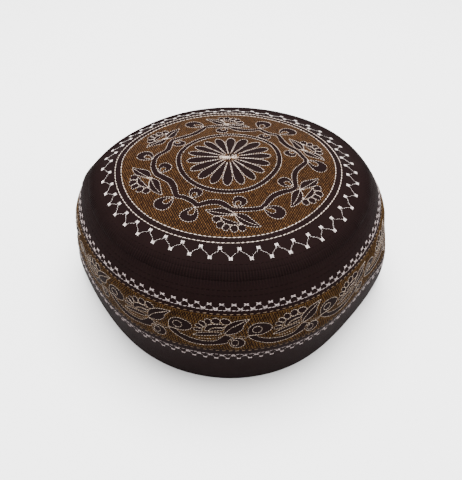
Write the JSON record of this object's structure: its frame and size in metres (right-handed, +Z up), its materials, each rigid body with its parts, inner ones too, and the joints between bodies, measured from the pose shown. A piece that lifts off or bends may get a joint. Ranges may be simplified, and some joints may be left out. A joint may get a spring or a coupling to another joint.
{
  "type": "embroidered prayer cap",
  "caption": "Round brimless cloth cap with a flat embroidered crown, an upright embroidered side wall and a puckered seam roll between them, open below for the head.",
  "frame": {"origin": "centre of the hem, on the surface that the cap stands on", "axes": "+Z up through the crown, +X along the storage crease to the wearer's side, +Y to the back"},
  "size_m": [0.1992, 0.1969, 0.086],
  "materials": {
    "dark_cloth": "matt black-brown cotton twill over a stiffening",
    "gold_thread": "old-gold fill embroidery with a silky sheen",
    "white_thread": "off-white rope stitch with a silky sheen"
  },
  "bodies": {
    "root": {"crown_panel": "dark_cloth", "seam_roll": "dark_cloth", "side_wall": "dark_cloth"}
  },
  "joints": []
}
